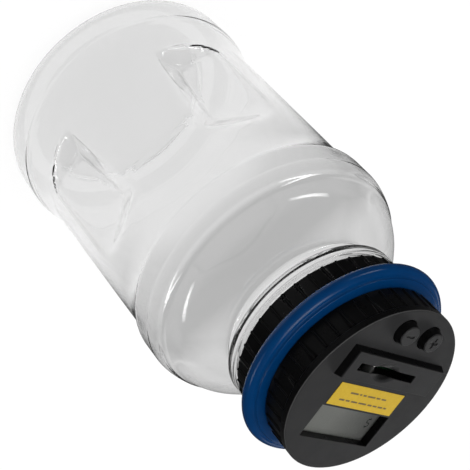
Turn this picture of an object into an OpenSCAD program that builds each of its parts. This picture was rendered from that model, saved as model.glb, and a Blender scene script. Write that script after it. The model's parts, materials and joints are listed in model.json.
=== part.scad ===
// Electronic coin bank: a clear screw jar under a lid that counts the coins dropped through it.
// Millimetres, +Z up, origin at the middle of the jar's foot.

/* [Jar] */
// Radius of the flared base
base_r = 55; // [53:0.5:60]
// Rounding between the foot and the base wall
base_corner = 8; // [5:0.5:10]
// Height where the base starts to narrow
base_h = 17.5; // [14:0.5:24]
// Height of the flare between base and waist
flare_h = 19.5; // [12:0.5:26]
// Radius of the waist
waist_r = 52; // [49:0.5:53]
// Height of the straight waist
waist_h = 67.5; // [64:0.5:80]
// Height of the step between waist and shoulder band
step_h = 12; // [8:0.5:16]
// Radius of the shoulder band
shoulder_r = 54.4; // [53:0.2:60]
// Height of the shoulder band
band_h = 10.2; // [6:0.2:16]
// Height of the rounded shoulder
dome_h = 25.3; // [22:0.1:30]
// Height of the neck above the shoulder
neck_h = 19.8; // [19:0.1:26]
// Outer radius of the neck
neck_r = 34; // [33.6:0.1:35]
// Wall of the neck
neck_wall = 1.6; // [1.2:0.1:1.8]
// Wall of the body
jar_wall = 1.2; // [0.8:0.1:1.6]
// Radius of the hollow under the foot
punt_r = 40; // [34:0.5:44]
// Depth of the hollow under the foot
punt_h = 2.5; // [1.5:0.1:4]
// How far the collar stands out of the neck
collar_proud = 3.2; // [2:0.1:3.4]
// Height of the collar
collar_h = 4.6; // [3:0.1:5]

/* [Pinch grips] */
// Depth of a grip at its crease
grip_depth = 8; // [5:0.5:10]
// Angle from the front to the near edge of a grip
grip_near = 17; // [14:1:20]
// Angle from the front to the crease
grip_crease = 32; // [28:1:34]
// Angle from the front to the far edge
grip_far = 57; // [50:1:62]
// Height of the lower end of the grips
grip_z0 = 42; // [40:0.5:48]
// Length of the grips
grip_len = 53; // [44:0.5:56]
// Length of the sloped ends
grip_end = 6; // [4:0.5:9]

/* [Screw thread] */
// Rise in one turn
thread_lead = 4; // [3.6:0.1:4.4]
// Turns of each thread
thread_turns = 1.5; // [1.25:0.25:1.5]
// Height of the thread above its wall
thread_proud = 1; // [0.8:0.05:1.1]
// Width of the thread at its root
thread_w = 1.5; // [1.2:0.1:1.6]
// Running room around the thread
thread_gap = 0.3; // [0.25:0.05:0.4]

/* [Lid base] */
// Thickness of the gasket
gasket_t = 1.2; // [1:0.1:1.6]
// Thickness of the floor
floor_t = 2.4; // [2.2:0.1:3]
// Depth of the skirt below the floor
skirt_depth = 9.8; // [9.4:0.1:10.4]
// Wall of the skirt
skirt_wall = 1.5; // [1.2:0.1:1.8]
// Number of grip ribs around the lid
rib_count = 40; // [24:2:48]
// How far a rib stands out
rib_proud = 0.5; // [0.3:0.05:0.6]
// Radius of a rib's round face
rib_r = 0.6; // [0.5:0.05:0.7]

/* [Head] */
// Angle of the lid on the jar
lid_angle = -69.5; // [-180:0.5:180]
// Radius of the top plate
head_r = 36.75; // [36.6:0.05:38]
// Height of the head above the floor
head_h = 19.6; // [19.4:0.1:22]
// Thickness of the top plate
plate_t = 2; // [1.8:0.1:2.2]
// Thickness of the head wall
head_wall = 1.9; // [1.6:0.1:2]
// Height of the plain band above the ribs
lip_h = 3.3; // [2.6:0.1:4]
// Rounding of the top edge
edge_r = 0.6; // [0.4:0.1:0.8]

/* [Trim ring] */
// Height of the ring over the floor
ring_h = 6.2; // [5.8:0.1:6.6]
// Outer radius of the ring
ring_r = 42.9; // [42.4:0.1:45]
// Radius of the round bead
bead_r = 2.7; // [2.4:0.1:2.8]
// Reach of the flat land beside the head
ring_land_r = 39.5; // [39:0.1:39.8]

/* [Coin slot] */
// Length of the platform
platform_l = 51.4; // [49:0.2:54]
// Width of the platform
platform_w = 11.4; // [10:0.2:12]
// Height of the platform
platform_h = 3.1; // [2.4:0.1:3.4]
// How far the platform's sides lean out at their foot
platform_draft = 0.9; // [0.4:0.1:1.2]
// Distance of the slot from the lid's middle
slot_y = -10.4; // [-10.8:0.1:-10.2]
// Fixed end of the slot
slot_x1 = 21.3; // [20:0.1:22]
// Length of the slot
slot_l = 33.1; // [32.5:0.1:34]
// Width of the slot
slot_w = 3.2; // [3:0.1:3.4]
// Wall of the chute
chute_wall = 1.2; // [1:0.1:1.3]
// Length of the finger dish along the slot
dish_l = 15; // [12:0.5:17]
// Width of the finger dish
dish_w = 8.6; // [6:0.2:10]
// Depth of the finger dish
dish_depth = 1.2; // [0.8:0.1:1.4]

/* [Coin lever] */
// Place of the pivot across the lid
lever_x = 5.3; // [5:0.1:5.6]
// Place of the pivot up the lid
lever_y = 3; // [2.6:0.1:3.2]
// Distance from the slot's fixed end to the lever at rest
coin_gap = 15.5; // [15:0.1:16]
// Length of the lever arm
lever_l = 20.7; // [20.4:0.1:20.9]
// Width of the lever arm
lever_w = 1; // [0.8:0.1:1.2]
// Swing of the lever
lever_swing = 48; // [40:1:49]
// Radius of the pivot pin
pin_r = 1; // [0.8:0.05:1.1]

/* [Display] */
// Width of the window
window_l = 40; // [38:0.2:41]
// Height of the window
window_w = 14.3; // [13.4:0.1:14.4]
// Place of the window up the lid
window_y = 16.5; // [16.2:0.1:16.6]
// Depth of the frame under the plate
frame_h = 1.3; // [1:0.1:1.5]
// Thickness of the window pane
pane_t = 0.7; // [0.5:0.1:0.9]
// Thickness of the display glass
lcd_t = 1.6; // [1.4:0.1:1.8]
// Height of the connector strips
strip_h = 1; // [0.8:0.1:1.2]
// Width of the label
label_l = 38.2; // [34:0.2:40]
// Height of the label
label_w = 9.8; // [8:0.1:10]
// Place of the label up the lid
label_y = 3.6; // [3.4:0.1:3.8]

/* [Buttons] */
// Radius of a button
button_r = 4.75; // [4:0.05:5]
// Distance between the buttons
button_pitch = 14.7; // [13.6:0.1:16]
// Place of the buttons down the lid
button_y = -26.5; // [-26.8:0.1:-25.6]
// Height of a button over the plate
button_h = 3.1; // [2.6:0.1:3.4]
// How far a button narrows to its top
button_taper = 0.6; // [0.3:0.1:0.8]
// Travel of a button
button_travel = 1.2; // [0.6:0.1:1.3]

/* [Board and cells] */
// Thickness of the circuit board
board_t = 1.2; // [1:0.1:1.6]
// Radius of the circuit board
board_r = 32.6; // [32:0.1:32.8]
// Diameter of a cell
cell_d = 10.5; // [10.2:0.1:10.6]
// Length of a cell
cell_l = 44.5; // [43.5:0.1:44.8]
// Length of a contact spring
contact_l = 5.1; // [4.5:0.1:5.2]
// Place of the first cell up the lid
cell_y = 0.2; // [0:0.1:0.4]
// Wall of the cell box
box_wall = 1.2; // [1:0.1:1.3]
// Thickness of the cell cover
cover_t = 1.4; // [1.2:0.1:1.5]

/* [Fits] */
// Room around a part that moves
move_gap = 0.3; // [0.25:0.05:0.35]
// Room around a part that is set in place
set_gap = 0.1; // [0.05:0.05:0.15]
// Radial room of the lever on its pin
pin_gap = 0.04; // [0.02:0.01:0.08]

/* [Hidden] */
$fn = 96;
eps = 0.01;
cut = 1;

// Heights of the jar
waist_z = base_h + flare_h;
step_z = waist_z + waist_h;
band_z = step_z + step_h;
dome_z = band_z + band_h;
neck_z = dome_z + dome_h;
rim_z = neck_z + neck_h;
neck_bore = neck_r - neck_wall;
dome_power = 1.5;
curve_steps = 7;
rim_round = 0.4;

// Heights of the lid
floor_z = rim_z + gasket_t;
floor_top = floor_z + floor_t;
skirt_z = floor_z - skirt_depth;
plate_z = floor_top + head_h;
plate_under = plate_z - plate_t;
ring_top = floor_top + ring_h;
collar_gap = 1.5;
collar_top = skirt_z - collar_gap;
collar_round = 1.1;

// Radii of the lid
skirt_in = neck_r + thread_proud + thread_gap;
skirt_r = skirt_in + skirt_wall;
rib_sink = rib_r - rib_proud;
rib_room = 1;
wall_r = head_r - rib_proud;
wall_in = wall_r - head_wall;
spigot_step = 1.1;
spigot_r = wall_r - spigot_step;
spigot_wall = 1.6;
spigot_in = spigot_r - spigot_wall;
skirt_chamfer = 0.5;
gasket_room = 0.4;

// Trim ring section
bead_x = ring_r - bead_r;
bead_lift = 1.8;
bead_z = floor_top + bead_lift;
bead_from = -140;
bead_to = 95;
bead_steps = 24;
cove_h = 0.4;
land_drop = 0.7;
land_round = 0.5;
land_to = 80;

// Thread places: the lid's thread runs half a lead under the jar's
thread_steps = 48;
thread_root = 0.4;
thread_crest = 0.55;
thread_run = 20;
thread_top_room = 1.9;
thread_foot_room = 1;
jar_thread_z = rim_z - thread_turns * thread_lead - thread_top_room;
lid_thread_z = skirt_z + thread_foot_room;

// Chute and slot
slot_x0 = slot_x1 - slot_l;
chute_x0 = slot_x0 - chute_wall;
chute_l = slot_l + 2 * chute_wall;
chute_w = slot_w + 2 * chute_wall;
chute_y0 = slot_y - chute_w / 2;
dish_x = 5.9;
dish_steps = 12;

// Stack under the plate: pane, display glass, strips, board
pane_top = plate_under - frame_h;
lcd_top = pane_top - pane_t;
lcd_z = lcd_top - lcd_t;
board_top = lcd_z - strip_h;
board_z = board_top - board_t;
lcd_rim = 2;
lcd_foot = 1.25;
frame_wall = 1;
lcd_l = window_l + 2 * lcd_rim;
lcd_w = window_w + 2 * lcd_foot;
strip_w = 2;
strip_l = window_l;
label_t = 0.15;

// Lever heights, from the board up
hub_r = 3.2;
hub_room = 0.8;
hub_z = board_top + hub_room;
hub_h = 1.6;
hub_neck_r = 1.9;
lever_boss_r = 2.6;
lever_boss_h = 0.6;
hub_play = 0.2;
hub_neck_top = plate_under - lever_boss_h - hub_play;
arm_lift = 0.4;
arm_z = hub_z + arm_lift;
arm_h = 3;
lever_reach = lever_y - slot_y;
lever_face_x = slot_x1 - coin_gap - lever_x;
arm_turn = atan2(-lever_reach, lever_face_x) - asin((lever_w / 2) / norm([lever_face_x, lever_reach]));
arm_down = arm_turn + 90;
arm_side = lever_w / 2 / cos(arm_down) + move_gap;
sweep_x0 = lever_x + lever_l * sin(arm_down - lever_swing) - arm_side;
sweep_x1 = lever_x + max(0, (lever_y - chute_y0) * tan(arm_down)) + arm_side;
lever_bore = pin_r + pin_gap;
leaf_x = 5;
leaf_l = 5;
leaf_foot = 1;
leaf_lift = 0.1;
coil_r = 2.5;
coil_wire = 0.22;
coil_turns = 2;

// Cells and their box
cell_between = 0.5;
cell_pitch = cell_d + cell_between;
cell_play = 0.2;
sheet_t = 0.4;
cell_room = 0.25;
box_in_l = cell_l + contact_l + 2 * sheet_t;
box_in_y0 = cell_y - cell_d / 2 - cell_room;
box_in_w = cell_pitch + cell_d + 2 * cell_room;
cover_lap = 1.2;
cover_z = floor_z;
cell_z = cover_z + cover_t + cell_play + cell_d / 2;
roof_under = cell_z + cell_d / 2 + cell_play;
roof_t = 1;
tab_w = 9;
tab_l = 7.4;
cover_y1 = box_in_y0 + box_in_w + cover_lap;
cover_screw_y = cover_y1 + tab_l / 2;
cell_nub_l = 1.2;
cell_nub_r = 1.9;
contact_wire = 0.35;
contact_big_r = 3.6;
contact_small_r = 2.4;
contact_turns = 4;
plate_w = 9;
plate_lift = 4;
tail_w = 2.5;

// Screws
base_screw_at = [[-20.5, -22], [20.5, -22], [-12, 28.2], [12, 28.2]];
board_screw_at = [[-29.2, -3], [29.2, -3], [14, -19]];
boss_r = 3;
post_r = 2.4;
base_screw_r = 1.2;
base_head_r = 2.4;
base_head_h = 1.6;
base_screw_l = 11;
board_screw_r = 1;
board_head_r = 2;
board_head_h = 1.4;
board_screw_l = 4.8;
cover_screw_r = 1;
cover_head_r = 2.2;
cover_head_h = 1.2;
cover_screw_l = 6.5;
cover_boss_h = 5.6;

// Buttons and pads
button_flange_r = 6;
button_flange_t = 1.3;
button_round = 0.5;
mark_l = 4.4;
mark_w = 1;
mark_depth = 0.4;
pad_foot_r = 5.5;
pad_top_r = 2.5;
pad_wall = 0.8;
pill_r = 1.5;

// Small parts on the board
blob_at = [0, -19];
blob_r = 5;
blob_h = 1.6;
crystal_at = [-14, -18.5];
crystal_r = 1.5;
crystal_l = 8;
cap_at = [0, -28];
cap_r = 2.5;
cap_h = 7;

// Radius of the circle that is as deep as a dish under half a chord
function dish_ball(half) = (half * half + dish_depth * dish_depth) / (2 * dish_depth);

// Points along a circular arc
function arc(c, r, a0, a1, n) = [for (i = [0:n]) let (a = a0 + (a1 - a0) * i / n) c + r * [cos(a), sin(a)]];

// Points along a soft step between two heights
function ease(p, q, n) =
    [for (i = [0:n]) let (t = i / n) [p.x + (q.x - p.x) * (1 - cos(180 * t)) / 2, p.y + (q.y - p.y) * t]];

// Points along a rounded shoulder, from the band up to the neck
function dome(p, q, n) = [for (i = [0:n]) let (a = 90 * i / n)
    [q.x + (p.x - q.x) * pow(cos(a), 2 / dome_power), p.y + (q.y - p.y) * pow(sin(a), 2 / dome_power)]];

// Side of the jar from the foot to the neck, drawn in by a wall
function jar_side(inset, top_r) = concat(
    arc([base_r - base_corner, base_corner], base_corner - inset, -90, 0, curve_steps),
    ease([base_r - inset, base_h], [waist_r - inset, waist_z], curve_steps),
    ease([waist_r - inset, step_z], [shoulder_r - inset, band_z], curve_steps),
    dome([shoulder_r - inset, dome_z], [top_r, neck_z - inset], curve_steps + 4));

// Turned outline of the jar's inside up to the neck, closed along the axis
function jar_inside() = concat(
    [[0, punt_h + jar_wall], [punt_r - 2 * punt_h, punt_h + jar_wall], [punt_r, jar_wall]],
    jar_side(jar_wall, neck_bore),
    [[neck_bore, neck_z + cut], [0, neck_z + cut]]);

// Turned outline of the jar's outside up to the neck, closed along the axis
function jar_outside() = concat(
    [[0, punt_h], [punt_r - 2 * punt_h, punt_h], [punt_r, 0]],
    jar_side(0, neck_r),
    [[0, neck_z]]);

// Section of the neck with its collar, from the shoulder to the rim
function neck_section() = concat(
    [[neck_bore, neck_z], [neck_r, neck_z], [neck_r, collar_top - collar_h]],
    arc([neck_r + collar_proud - collar_round, collar_top - collar_h + collar_round],
        collar_round, -90, 0, 5),
    arc([neck_r + collar_proud - collar_round, collar_top - collar_round], collar_round, 0, 90, 5),
    [[neck_r, collar_top], [neck_r, rim_z - rim_round], [neck_r - rim_round, rim_z], [neck_bore, rim_z]]);

// Closed skin over a list of rings that all have the same number of points
module skin(rings) {
    n = len(rings[0]);
    last = len(rings) - 1;
    points = [for (ring = rings) each ring];
    sides = [for (i = [0:last - 1], j = [0:n - 1])
        let (a = i * n + j, b = i * n + (j + 1) % n) each [[a, b, a + n], [b, b + n, a + n]]];
    start = [for (j = [1:n - 2]) [0, j + 1, j]];
    end = [for (j = [1:n - 2]) [last * n, last * n + j, last * n + j + 1]];
    polyhedron(points, concat(sides, start, end));
}

// Helical thread on a wall of radius r, standing out by proud, inwards if proud is negative
module thread(r, proud, z0, turn0) {
    count = ceil(thread_steps * thread_turns);
    side = sign(proud);
    rings = [for (i = [0:count])
        let (
            a = 360 * thread_turns * i / count,
            z = z0 + thread_lead * a / 360,
            full = min(1, a / thread_run, (360 * thread_turns - a) / thread_run),
            inner = r - side * thread_root,
            outer = r + proud * full - side * thread_root / 4 * (1 - full),
            half = thread_w / 2,
            tip = thread_w / 2 * thread_crest,
            section = [[inner, -half], [outer, -tip], [outer, tip], [inner, half]]
        )
        [for (p = section) [p.x * cos(a + turn0), p.x * sin(a + turn0), z + p.y]]];
    if (side > 0)
        skin(rings);
    else
        skin([for (ring = rings) [for (j = [3:-1:0]) ring[j]]]);
}

// Wire of radius r along a helix whose radius goes from r0 to r1 over height h, standing on the origin
module coil(r0, r1, h, turns, r, sides = 6, per_turn = 12) {
    count = turns * per_turn;
    skin([for (i = [0:count])
        let (a = 360 * i / per_turn, big = r0 + (r1 - r0) * i / count, z = r + (h - 2 * r) * i / count)
        [for (j = [0:sides - 1])
            let (b = -360 * j / sides)
            [(big + r * cos(b)) * cos(a), (big + r * cos(b)) * sin(a), z + r * sin(b)]]]);
}

// Everything on the lid is drawn square to the reader and turned to its place on the jar
module on_lid() {
    rotate([0, 0, lid_angle])
        children();
}

// Box from its lowest corner to its highest
module block(low, high) {
    translate(low)
        cube(high - low);
}

module tube(r_out, r_in, z0, z1) {
    rotate_extrude()
        polygon([[r_in, z0], [r_out, z0], [r_out, z1], [r_in, z1]]);
}

module ribs(wall, z0, z1) {
    for (i = [0:rib_count - 1])
        rotate([0, 0, 360 * i / rib_count])
            translate([wall - rib_sink, 0, z0])
                cylinder(r = rib_r, h = z1 - z0, $fn = 24);
}

// Point of the jar's plan at an angle from the front
function front(angle, r) = [r * sin(angle), -r * cos(angle)];

// Hollow of one pinch grip: a slanted V with sloped ends
module grip_hollow() {
    crease = front(grip_crease, waist_r - grip_depth);
    near = front(grip_near, waist_r);
    far = front(grip_far, waist_r);
    reach = 2;
    beyond = waist_r + 2 * grip_depth;
    slope = grip_end / grip_depth;
    inner = waist_r - 2 * grip_depth;
    intersection() {
        translate([0, 0, grip_z0 - 2 * grip_end])
            linear_extrude(grip_len + 4 * grip_end)
                polygon([crease, crease + reach * (far - crease), front(grip_crease, 2 * waist_r),
                    crease + reach * (near - crease)]);
        rotate([0, 0, grip_crease - 90])
            rotate([90, 0, 0])
                linear_extrude(2 * waist_r, center = true)
                    polygon([
                        [inner, grip_z0 + slope * (waist_r - inner)],
                        [beyond, grip_z0 - slope * (beyond - waist_r)],
                        [beyond, grip_z0 + grip_len + slope * (beyond - waist_r)],
                        [inner, grip_z0 + grip_len - slope * (waist_r - inner)]]);
    }
}

module grip_pair(inset) {
    shift = -inset * front(grip_crease, 1);
    for (side = [0, 1])
        mirror([side, 0, 0])
            translate([shift.x, shift.y, 0])
                grip_hollow();
}

module jar() {
    color([0.9, 0.94, 0.95, 0.35])
        difference() {
            rotate_extrude()
                polygon(jar_outside());
            grip_pair(0);
            difference() {
                rotate_extrude()
                    polygon(jar_inside());
                grip_pair(jar_wall);
            }
        }
}

module jar_neck() {
    color([0.9, 0.94, 0.95, 0.35])
        union() {
            rotate_extrude()
                polygon(neck_section());
            thread(neck_r, thread_proud, jar_thread_z, 0);
        }
}

module gasket() {
    color("white")
        tube(skirt_in - gasket_room, neck_bore, rim_z, floor_z - eps);
}

// Room for the cover under the floor
module cover_shape(grow, z0, z1) {
    x1 = box_in_l / 2 + cover_lap + grow;
    block([-x1, box_in_y0 - cover_lap - grow, z0], [x1, cover_y1 + grow, z1]);
    block([-tab_w / 2 - grow, cover_y1 - cut, z0], [tab_w / 2 + grow, cover_y1 + tab_l + grow, z1]);
}

module lid_base() {
    box_x = box_in_l / 2;
    box_y1 = box_in_y0 + box_in_w;
    color([0.03, 0.03, 0.03])
        on_lid()
            difference() {
                union() {
                    rotate_extrude()
                        polygon([[0, floor_z], [skirt_in, floor_z], [skirt_in, skirt_z],
                            [skirt_r - skirt_chamfer, skirt_z], [skirt_r, skirt_z + skirt_chamfer],
                            [skirt_r, floor_top], [0, floor_top]]);
                    ribs(skirt_r, skirt_z + skirt_chamfer, floor_top - floor_t / 2);
                    thread(skirt_in, -thread_proud, lid_thread_z,
                        360 * (lid_thread_z - jar_thread_z) / thread_lead + 180 - lid_angle);
                    block([-box_x - box_wall, box_in_y0 - box_wall, floor_top - eps],
                        [box_x + box_wall, box_y1 + box_wall, roof_under + roof_t]);
                    translate([0, cover_screw_y, floor_top - eps])
                        cylinder(r = boss_r, h = cover_boss_h);
                }
                block([-box_x, box_in_y0, floor_z - cut], [box_x, box_y1, roof_under]);
                cover_shape(move_gap, floor_z - cut, floor_z + cover_t);
                block([chute_x0 - set_gap, chute_y0 - set_gap, floor_z - cut],
                    [chute_x0 + chute_l + set_gap, chute_y0 + chute_w + set_gap, floor_top + cut]);
                for (at = base_screw_at)
                    translate([at.x, at.y, floor_z - cut]) {
                        cylinder(r = base_head_r + set_gap, h = cut + base_head_h + set_gap);
                        cylinder(r = base_screw_r + set_gap, h = floor_t + 2 * cut);
                    }
                translate([0, cover_screw_y, floor_z])
                    cylinder(r = cover_screw_r + set_gap, h = floor_t + cover_boss_h - cut);
                for (y = [cell_y, cell_y + cell_pitch])
                    block([-box_x, y - tail_w / 2 - set_gap, roof_under - cut],
                        [-box_x + sheet_t + set_gap, y + tail_w / 2 + set_gap, roof_under + roof_t + cut]);
            }
}

module trim_ring() {
    bore = spigot_r + set_gap / 2;
    color([0.02, 0.2, 0.45])
        rotate_extrude()
            polygon(concat(
                [[bore, floor_top]],
                arc([bead_x, bead_z], bead_r, bead_from, bead_to, bead_steps),
                [[ring_land_r, bead_z + bead_r + cove_h]],
                arc([ring_land_r - land_round, ring_top - land_drop - land_round], land_round, 0, land_to, 4),
                [[bore, ring_top]]));
}

// Opening of the display, grown on all sides
module window_shape(grow, z0, z1) {
    block([-window_l / 2 - grow, window_y - window_w / 2 - grow, z0],
        [window_l / 2 + grow, window_y + window_w / 2 + grow, z1]);
}

module head_shell() {
    color([0.05, 0.05, 0.05])
        on_lid()
            difference() {
                union() {
                    rotate_extrude()
                        polygon(concat(
                            [[spigot_in, floor_top], [spigot_r, floor_top], [spigot_r, ring_top],
                                [wall_r, ring_top], [wall_r, plate_z - lip_h],
                                [head_r, plate_z - lip_h + rib_proud]],
                            arc([head_r - edge_r, plate_z - edge_r], edge_r, 0, 90, 5),
                            [[0, plate_z], [0, plate_under], [wall_in, plate_under],
                                [wall_in, ring_top + spigot_step], [spigot_in, ring_top]]));
                    ribs(wall_r, ring_top + rib_room, plate_z - lip_h);
                    for (at = base_screw_at)
                        translate([at.x, at.y, floor_top])
                            cylinder(r = boss_r, h = plate_under - floor_top + eps);
                    for (at = board_screw_at)
                        translate([at.x, at.y, board_top])
                            cylinder(r = post_r, h = plate_under - board_top + eps);
                    translate([lever_x, lever_y, plate_under - lever_boss_h])
                        cylinder(r = lever_boss_r, h = lever_boss_h + eps);
                    window_shape(frame_wall, pane_top, plate_under + eps);
                }
                window_shape(0, pane_top - cut, plate_z + cut);
                block([chute_x0 - set_gap, chute_y0 - set_gap, plate_under - cut],
                    [chute_x0 + chute_l + set_gap, chute_y0 + chute_w + set_gap, plate_z + cut]);
                for (side = [-1, 1])
                    translate([side * button_pitch / 2, button_y, plate_under - cut])
                        cylinder(r = button_r + move_gap, h = plate_t + 2 * cut);
                for (at = base_screw_at)
                    translate([at.x, at.y, floor_top - cut])
                        cylinder(r = base_screw_r + set_gap / 2, h = base_screw_l);
                for (at = board_screw_at)
                    translate([at.x, at.y, board_top - cut])
                        cylinder(r = board_screw_r + set_gap / 2, h = board_screw_l);
                translate([lever_x, lever_y, plate_under - cut])
                    cylinder(r = pin_r, h = cut + plate_t / 2);
            }
}

// Section of the platform across one side, leaning out to its foot
module leaning(side) {
    polygon([[-side / 2 - platform_draft, 0], [side / 2 + platform_draft, 0],
        [side / 2, platform_h], [-side / 2, platform_h]]);
}

module platform() {
    intersection() {
        rotate([90, 0, 0])
            linear_extrude(platform_w + 2 * platform_draft, center = true)
                leaning(platform_l);
        rotate([90, 0, 90])
            linear_extrude(platform_l + 2 * platform_draft, center = true)
                leaning(platform_w);
    }
}

// Long hollow for a finger, round along the slot and across it, with its deepest point under the origin
module dish() {
    long_ball = dish_ball(dish_l / 2);
    ball = dish_ball(dish_w / 2);
    half_turn = asin(dish_l / 2 / long_ball);
    translate([0, 0, ball - dish_depth])
        rotate([0, 90, 0])
            rotate_extrude()
                polygon(concat(
                    [[0, -dish_l / 2]],
                    arc([ball - long_ball, 0], long_ball, -half_turn, half_turn, dish_steps),
                    [[0, dish_l / 2]]));
}

module slot_insert() {
    top = plate_z + platform_h;
    color([0.06, 0.06, 0.06])
        on_lid()
            difference() {
                union() {
                    translate([0, slot_y, plate_z])
                        platform();
                    block([chute_x0, chute_y0, floor_z],
                        [chute_x0 + chute_l, chute_y0 + chute_w, plate_z + eps]);
                }
                block([slot_x0, slot_y - slot_w / 2, floor_z - cut],
                    [slot_x1, slot_y + slot_w / 2, top + cut]);
                translate([dish_x, slot_y, top])
                    dish();
                block([sweep_x0, chute_y0 - cut, arm_z - move_gap],
                    [sweep_x1, chute_y0 + chute_w + cut, arm_z + arm_h + move_gap]);
            }
}

// Cap with a sunk mark and a flange under the plate, its foot on the pad
module button_body(side) {
    foot = plate_under - button_flange_t;
    top = plate_z + button_h;
    floor = top - mark_depth;
    on_lid()
        translate([side * button_pitch / 2, button_y, 0])
            difference() {
                rotate_extrude()
                    polygon(concat(
                        [[0, foot], [button_flange_r, foot], [button_flange_r, plate_under],
                            [button_r, plate_under], [button_r, plate_z]],
                        arc([button_r - button_taper - button_round, top - button_round],
                            button_round, 0, 90, 5),
                        [[0, top]]));
                block([-mark_l / 2, -mark_w / 2, floor], [mark_l / 2, mark_w / 2, top + cut]);
                if (side < 0)
                    block([-mark_w / 2, -mark_l / 2, floor], [mark_w / 2, mark_l / 2, top + cut]);
            }
}

module plus_button() {
    color([0.04, 0.04, 0.04])
        button_body(-1);
}

module minus_button() {
    color([0.04, 0.04, 0.04])
        button_body(1);
}

// Hollow rubber cone between the board and a button, with its contact pill held up by the travel
module pad_body(side) {
    top = plate_under - button_flange_t;
    pill = board_top + button_travel;
    on_lid()
        translate([side * button_pitch / 2, button_y, 0])
            rotate_extrude()
                polygon([[pad_foot_r - 2 * pad_wall, board_top], [pad_foot_r, board_top],
                    [pad_foot_r, board_top + pad_wall], [pad_top_r + pad_wall, board_top + pad_wall],
                    [pad_top_r, top], [0, top], [0, pill], [pill_r, pill], [pill_r, top - pad_wall]]);
}

module plus_pad() {
    color([0.55, 0.56, 0.55])
        pad_body(-1);
}

module minus_pad() {
    color([0.55, 0.56, 0.55])
        pad_body(1);
}

// Sheet under the window, from height z0 to z1
module window_sheet(z0, z1) {
    on_lid()
        block([-lcd_l / 2, window_y - lcd_w / 2, z0], [lcd_l / 2, window_y + lcd_w / 2, z1]);
}

module lcd_window() {
    color([0.9, 0.92, 0.92, 0.3])
        window_sheet(lcd_top, pane_top);
}

module lcd_panel() {
    color([0.42, 0.43, 0.41])
        window_sheet(lcd_z, lcd_top);
}

module lcd_connectors() {
    color([0.75, 0.72, 0.66])
        on_lid()
            for (y = [window_y - lcd_w / 2, window_y + lcd_w / 2 - strip_w])
                block([-strip_l / 2, y, board_top], [strip_l / 2, y + strip_w, lcd_z]);
}

module label() {
    color([0.8, 0.65, 0.12])
        on_lid()
            block([-label_l / 2, label_y - label_w / 2, plate_z],
                [label_l / 2, label_y + label_w / 2, plate_z + label_t]);
}

module circuit_board() {
    color([0.1, 0.35, 0.18])
        on_lid()
            difference() {
                translate([0, 0, board_z])
                    cylinder(r = board_r, h = board_t);
                block([chute_x0 - move_gap, chute_y0 - move_gap, board_z - cut],
                    [chute_x0 + chute_l + move_gap, chute_y0 + chute_w + move_gap, board_top + cut]);
                for (at = base_screw_at)
                    translate([at.x, at.y, board_z - cut])
                        cylinder(r = boss_r + move_gap, h = board_t + 2 * cut);
                for (at = board_screw_at)
                    translate([at.x, at.y, board_z - cut])
                        cylinder(r = board_screw_r + set_gap, h = board_t + 2 * cut);
                translate([lever_x, lever_y, board_z - cut])
                    cylinder(r = pin_r + pin_gap, h = board_t + 2 * cut);
            }
}

module controller_blob() {
    ball = (blob_r * blob_r + blob_h * blob_h) / (2 * blob_h);
    color([0.04, 0.04, 0.04])
        on_lid()
            translate([blob_at.x, blob_at.y, board_z])
                intersection() {
                    translate([0, 0, ball - blob_h])
                        sphere(r = ball);
                    block([-blob_r, -blob_r, -blob_h], [blob_r, blob_r, 0]);
                }
}

module board_components() {
    color("silver")
        on_lid() {
            translate([crystal_at.x - crystal_l / 2, crystal_at.y, board_z - crystal_r])
                rotate([0, 90, 0])
                    cylinder(r = crystal_r, h = crystal_l);
            translate([cap_at.x, cap_at.y, board_z - cap_h])
                cylinder(r = cap_r, h = cap_h);
        }
}

// Places its children at the lever's pivot, along the arm at rest
module on_lever() {
    on_lid()
        translate([lever_x, lever_y, 0])
            rotate([0, 0, arm_turn])
                children();
}

module coin_lever() {
    color([0.75, 0.75, 0.72])
        on_lever()
            difference() {
                union() {
                    translate([0, 0, hub_z])
                        cylinder(r = hub_r, h = hub_h);
                    translate([0, 0, hub_z])
                        cylinder(r = hub_neck_r, h = hub_neck_top - hub_z);
                    block([0, -lever_w / 2, arm_z], [lever_l - lever_w / 2, lever_w / 2, arm_z + arm_h]);
                    translate([lever_l - lever_w / 2, 0, arm_z])
                        cylinder(r = lever_w / 2, h = arm_h);
                }
                translate([0, 0, hub_z - cut])
                    cylinder(r = lever_bore, h = hub_neck_top - hub_z + 2 * cut);
                difference() {
                    translate([0, 0, hub_z + hub_h])
                        cylinder(r = hub_r, h = arm_h);
                    translate([0, 0, hub_z])
                        cylinder(r = hub_neck_r, h = hub_neck_top - hub_z);
                }
            }
}

module wiper_contact() {
    color("goldenrod")
        on_lever() {
            block([leaf_x, -lever_w / 2, arm_z - sheet_t], [leaf_x + leaf_l, lever_w / 2, arm_z]);
            block([leaf_x + leaf_l - leaf_foot, -lever_w / 2, board_top + leaf_lift],
                [leaf_x + leaf_l, lever_w / 2, arm_z - sheet_t + eps]);
        }
}

module lever_pin() {
    color("silver")
        on_lid()
            translate([lever_x, lever_y, board_z])
                cylinder(r = pin_r, h = plate_under + plate_t / 2 - board_z);
}

module lever_spring() {
    color("silver")
        on_lever()
            translate([0, 0, hub_z + hub_h + set_gap / 2])
                coil(coil_r, coil_r, hub_neck_top - hub_z - hub_h, coil_turns, coil_wire);
}

module battery_cover() {
    color([0.05, 0.05, 0.05])
        on_lid()
            difference() {
                cover_shape(0, cover_z, cover_z + cover_t);
                translate([0, cover_screw_y, cover_z - cut])
                    cylinder(r = cover_screw_r + set_gap, h = cover_t + 2 * cut);
            }
}

// Round headed screw standing on its head's upper side
module screw(head_r, head_h, r, l) {
    rotate_extrude()
        polygon([[0, -head_h], [head_r - head_h / 2, -head_h], [head_r, -head_h / 2], [head_r, 0],
            [r, 0], [r, l], [0, l]]);
}

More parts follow.
